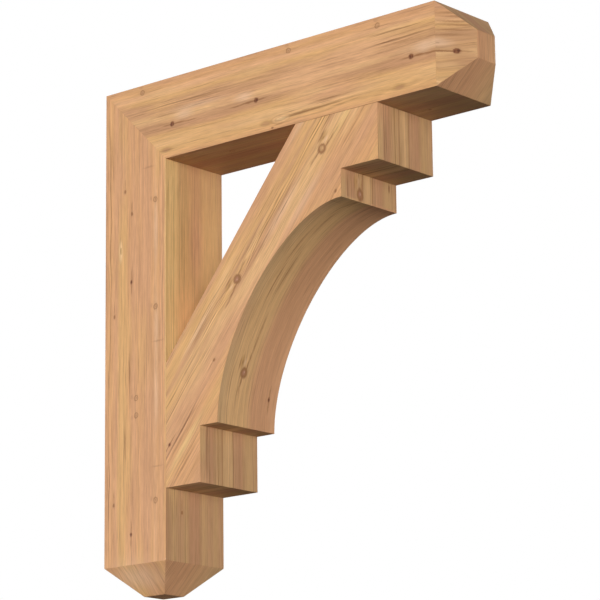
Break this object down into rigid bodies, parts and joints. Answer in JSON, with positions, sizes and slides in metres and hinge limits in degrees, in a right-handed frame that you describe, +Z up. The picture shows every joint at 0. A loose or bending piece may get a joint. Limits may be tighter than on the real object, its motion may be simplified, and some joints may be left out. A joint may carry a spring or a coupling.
{
  "type": "wooden corbel bracket",
  "caption": "Timber corbel bracket: a square wall post and a mitred top arm, both with pyramid-cut free ends, tied by a flush diagonal brace with stepped ends and a concave arc.",
  "frame": {"origin": "centre of the post's flat wall face, between the top of the arm and the start of the slopes at the post's tip, in the middle of the timber's thickness", "axes": "+X runs out from the wall along the arm, +Y across the timber's thickness, +Z up"},
  "size_m": [0.762, 0.1396, 0.8636],
  "materials": {
    "cedar": "smooth planed knotty cedar, no stain or varnish"
  },
  "bodies": {
    "root": {"wall_post": "cedar", "top_arm": "cedar", "curved_brace": "cedar"}
  },
  "joints": []
}
